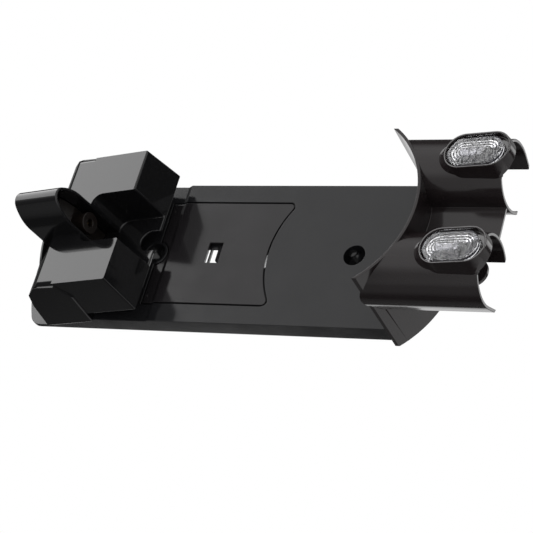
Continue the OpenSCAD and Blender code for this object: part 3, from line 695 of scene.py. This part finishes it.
def clear_acrylic(name):
    """Clear plastic with faint waves from its mould."""
    material = bpy.data.materials.new(name)
    material.use_nodes = True
    tree = material.node_tree
    shader = tree.nodes["Principled BSDF"]
    shader.inputs["IOR"].default_value = 1.49
    shader.inputs["Transmission Weight"].default_value = 1.0
    place = node_of(tree, "ShaderNodeTexCoord", (-900, 0))
    wave = node_of(tree, "ShaderNodeTexNoise", (-600, 0))
    wave.inputs["Scale"].default_value = 330
    wave.inputs["Detail"].default_value = 2
    tree.links.new(place.outputs["Object"], wave.inputs["Vector"])
    tint = node_of(tree, "ShaderNodeMix", (-300, 200), data_type="RGBA")
    tint.inputs["A"].default_value = (0.90, 0.90, 0.93, 1)
    tint.inputs["B"].default_value = (0.97, 0.97, 0.98, 1)
    tree.links.new(wave.outputs["Fac"], tint.inputs["Factor"])
    tree.links.new(tint.outputs["Result"], shader.inputs["Base Color"])
    haze = node_of(tree, "ShaderNodeMapRange", (-300, -100))
    haze.inputs["To Min"].default_value = 0.01
    haze.inputs["To Max"].default_value = 0.06
    tree.links.new(wave.outputs["Fac"], haze.inputs["Value"])
    tree.links.new(haze.outputs["Result"], shader.inputs["Roughness"])
    bump = node_of(tree, "ShaderNodeBump", (-100, -300))
    bump.inputs["Distance"].default_value = 0.0003
    tree.links.new(wave.outputs["Fac"], bump.inputs["Height"])
    tree.links.new(bump.outputs["Normal"], shader.inputs["Normal"])
    return material


lens_clear = clear_acrylic("lens_clear")
for side_name, side in (("left", -1), ("right", 1)):
    placed("insert_" + side_name, lens_mesh("insert_" + side_name, side), lens_clear,
           "lens_" + side_name)


# Assembly screws
# Zinc plated self-tapping screws with a pan head, a cross recess and a rolled thread, driven
# from behind: four hold the cradle on the plate and two hold the tool holder.
HEAD_RADIUS = 0.0032
HEAD_HEIGHT = 0.0019
SHANK_RADIUS = 0.00115
SHANK_LENGTH = 0.0110
THREAD_PITCH = 0.00125
THREAD_DEPTH = 0.00033
RECESS_LENGTH = 0.0038
RECESS_WIDTH = 0.0008
RECESS_DEPTH = 0.0008


def screw_tree():
    """A node tree that builds one screw and sets it on every point of a mesh."""
    tree = bpy.data.node_groups.new("screw_rows", "GeometryNodeTree")
    tree.interface.new_socket("Geometry", in_out="INPUT", socket_type="NodeSocketGeometry")
    for name in ("Head Radius", "Head Height", "Shank Radius", "Shank Length", "Thread Pitch", "Thread Depth",
                 "Recess Length", "Recess Width", "Recess Depth", "Tilt"):
        tree.interface.new_socket(name, in_out="INPUT", socket_type="NodeSocketFloat")
    tree.interface.new_socket("Metal", in_out="INPUT", socket_type="NodeSocketMaterial")
    tree.interface.new_socket("Geometry", in_out="OUTPUT", socket_type="NodeSocketGeometry")
    given = tree.nodes.new("NodeGroupInput").outputs
    result = tree.nodes.new("NodeGroupOutput")

    def put(value, socket):
        if isinstance(value, bpy.types.NodeSocket):
            tree.links.new(value, socket)
        else:
            socket.default_value = value

    def sum_of(operation, first, second):
        node = node_of(tree, "ShaderNodeMath", operation=operation)
        put(first, node.inputs[0])
        put(second, node.inputs[1])
        return node.outputs[0]

    def vector(x, y, z):
        node = node_of(tree, "ShaderNodeCombineXYZ")
        for value, socket in zip((x, y, z), node.inputs):
            put(value, socket)
        return node.outputs[0]

    def moved(shape, shift):
        node = node_of(tree, "GeometryNodeTransform")
        put(shape, node.inputs["Geometry"])
        put(shift, node.inputs["Translation"])
        return node.outputs["Geometry"]

    def column(radius, depth, sides):
        node = node_of(tree, "GeometryNodeMeshCylinder")
        put(sides, node.inputs["Vertices"])
        put(radius, node.inputs["Radius"])
        put(depth, node.inputs["Depth"])
        return node

    def drawn_in(shape, face, rise, share):
        push = node_of(tree, "GeometryNodeExtrudeMesh", mode="FACES")
        put(shape, push.inputs["Mesh"])
        put(face, push.inputs["Selection"])
        put(rise, push.inputs["Offset Scale"])
        push.inputs["Individual"].default_value = False
        shrink = node_of(tree, "GeometryNodeScaleElements", domain="FACE")
        put(push.outputs["Mesh"], shrink.inputs["Geometry"])
        put(push.outputs["Top"], shrink.inputs["Selection"])
        put(share, shrink.inputs["Scale"])
        return shrink.outputs["Geometry"], push.outputs["Top"]

    def at_height(share):
        return vector(0, 0, sum_of("MULTIPLY", given["Head Height"], share))

    rim = sum_of("MULTIPLY", given["Head Height"], 0.5)
    disc = column(given["Head Radius"], rim, 40)
    crown, face = drawn_in(disc.outputs["Mesh"], disc.outputs["Top"],
                           sum_of("MULTIPLY", given["Head Height"], 0.3), 0.9)
    crown, face = drawn_in(crown, face, sum_of("MULTIPLY", given["Head Height"], 0.2), 0.78)
    cut = node_of(tree, "GeometryNodeMeshBoolean", operation="DIFFERENCE", solver="EXACT")
    put(crown, cut.inputs["Mesh 1"])
    recess_depth = sum_of("MULTIPLY", given["Recess Depth"], 2)
    for long, short in (("Recess Length", "Recess Width"), ("Recess Width", "Recess Length")):
        arm = node_of(tree, "GeometryNodeMeshCube")
        put(vector(given[long], given[short], recess_depth), arm.inputs["Size"])
        put(moved(arm.outputs["Mesh"], at_height(0.75)), cut.inputs["Mesh 2"])
    head = node_of(tree, "GeometryNodeTransform")
    put(cut.outputs["Mesh"], head.inputs["Geometry"])
    put(at_height(-0.25), head.inputs["Translation"])
    head.inputs["Rotation"].default_value = (math.pi, 0, 0)

    tip = sum_of("MULTIPLY", given["Shank Radius"], 1.6)
    straight = sum_of("SUBTRACT", given["Shank Length"], tip)
    rod = column(given["Shank Radius"], straight, 24)
    shank = drawn_in(rod.outputs["Mesh"], rod.outputs["Top"], tip, 0.25)[0]
    shank = moved(shank, vector(0, 0, sum_of("MULTIPLY", straight, 0.5)))
    helix = node_of(tree, "GeometryNodeCurveSpiral")
    helix.inputs["Resolution"].default_value = 20
    put(given["Shank Radius"], helix.inputs["Start Radius"])
    put(given["Shank Radius"], helix.inputs["End Radius"])
    threaded = sum_of("SUBTRACT", straight, given["Thread Pitch"])
    put(sum_of("DIVIDE", threaded, given["Thread Pitch"]), helix.inputs["Rotations"])
    put(threaded, helix.inputs["Height"])
    crest = node_of(tree, "GeometryNodeCurvePrimitiveCircle")
    crest.inputs["Resolution"].default_value = 3
    put(given["Thread Depth"], crest.inputs["Radius"])
    thread = node_of(tree, "GeometryNodeCurveToMesh")
    put(helix.outputs["Curve"], thread.inputs["Curve"])
    put(crest.outputs["Curve"], thread.inputs["Profile Curve"])
    thread.inputs["Fill Caps"].default_value = True
    thread = moved(thread.outputs["Mesh"], vector(0, 0, given["Thread Pitch"]))

    screw = node_of(tree, "GeometryNodeJoinGeometry")
    for part in (head.outputs["Geometry"], shank, thread):
        put(part, screw.inputs["Geometry"])
    rows = node_of(tree, "GeometryNodeInstanceOnPoints")
    put(given["Geometry"], rows.inputs["Points"])
    put(screw.outputs["Geometry"], rows.inputs["Instance"])
    put(vector(given["Tilt"], 0, 0), rows.inputs["Rotation"])
    real = node_of(tree, "GeometryNodeRealizeInstances")
    put(rows.outputs["Instances"], real.inputs["Geometry"])
    plated = node_of(tree, "GeometryNodeSetMaterial")
    put(real.outputs["Geometry"], plated.inputs["Geometry"])
    put(given["Metal"], plated.inputs["Material"])
    put(plated.outputs["Geometry"], result.inputs["Geometry"])
    return tree


def screw_places(node, way):
    """Where the heads of a CAD node's screws meet their shanks."""
    shape = bmesh.new()
    shape.from_mesh(NODES[node].data)
    bmesh.ops.remove_doubles(shape, verts=shape.verts, dist=MERGE_DISTANCE)
    waiting = set(shape.verts)
    places = []
    while waiting:
        group = {waiting.pop()}
        edge_of_group = set(group)
        while edge_of_group:
            near = {edge.other_vert(corner) for corner in edge_of_group for edge in corner.link_edges}
            edge_of_group = near - group
            group |= near
        waiting -= group
        place = Vector()
        for axis in (Vector((1, 0, 0)), way.cross(Vector((1, 0, 0)))):
            reach = [corner.co.dot(axis) for corner in group]
            place += axis * (min(reach) + max(reach)) / 2
        places.append(place + way * (min(corner.co.dot(way) for corner in group) + HEAD_HEIGHT))
    shape.free()
    return places


def screws(name, node, tilt, tree):
    """A row of screws, set on their places by the node tree."""
    way = Vector((0, -math.sin(tilt), math.cos(tilt)))
    points = bpy.data.meshes.new(name)
    points.from_pydata(screw_places(node, way), [], [])
    draft = bpy.data.objects.new(name + "_points", points)
    bpy.context.scene.collection.objects.link(draft)
    rows = draft.modifiers.new("screws", "NODES")
    rows.node_group = tree
    sizes = {"Head Radius": HEAD_RADIUS, "Head Height": HEAD_HEIGHT, "Shank Radius": SHANK_RADIUS,
             "Shank Length": SHANK_LENGTH, "Thread Pitch": THREAD_PITCH, "Thread Depth": THREAD_DEPTH,
             "Recess Length": RECESS_LENGTH, "Recess Width": RECESS_WIDTH, "Recess Depth": RECESS_DEPTH,
             "Tilt": tilt, "Metal": screw_zinc}
    for socket in tree.interface.items_tree:
        if socket.name in sizes:
            rows[socket.identifier] = sizes[socket.name]
    graph = bpy.context.evaluated_depsgraph_get()
    graph.update()
    mesh = bpy.data.meshes.new_from_object(draft.evaluated_get(graph))
    draft.modifiers.remove(rows)
    bpy.data.objects.remove(draft)
    even_shading(mesh)
    return placed(name, mesh, screw_zinc, node)


screw_zinc = worn_metal("screw_zinc", (0.58, 0.58, 0.60), 0.28, 300)
screw_rows = screw_tree()
CRADLE_TILT = math.atan2(0.982, 0.187)
screws("cradle_fixings", "cradle_screws", CRADLE_TILT, screw_rows)
screws("holder_fixings", "holder_screws", math.pi / 2, screw_rows)
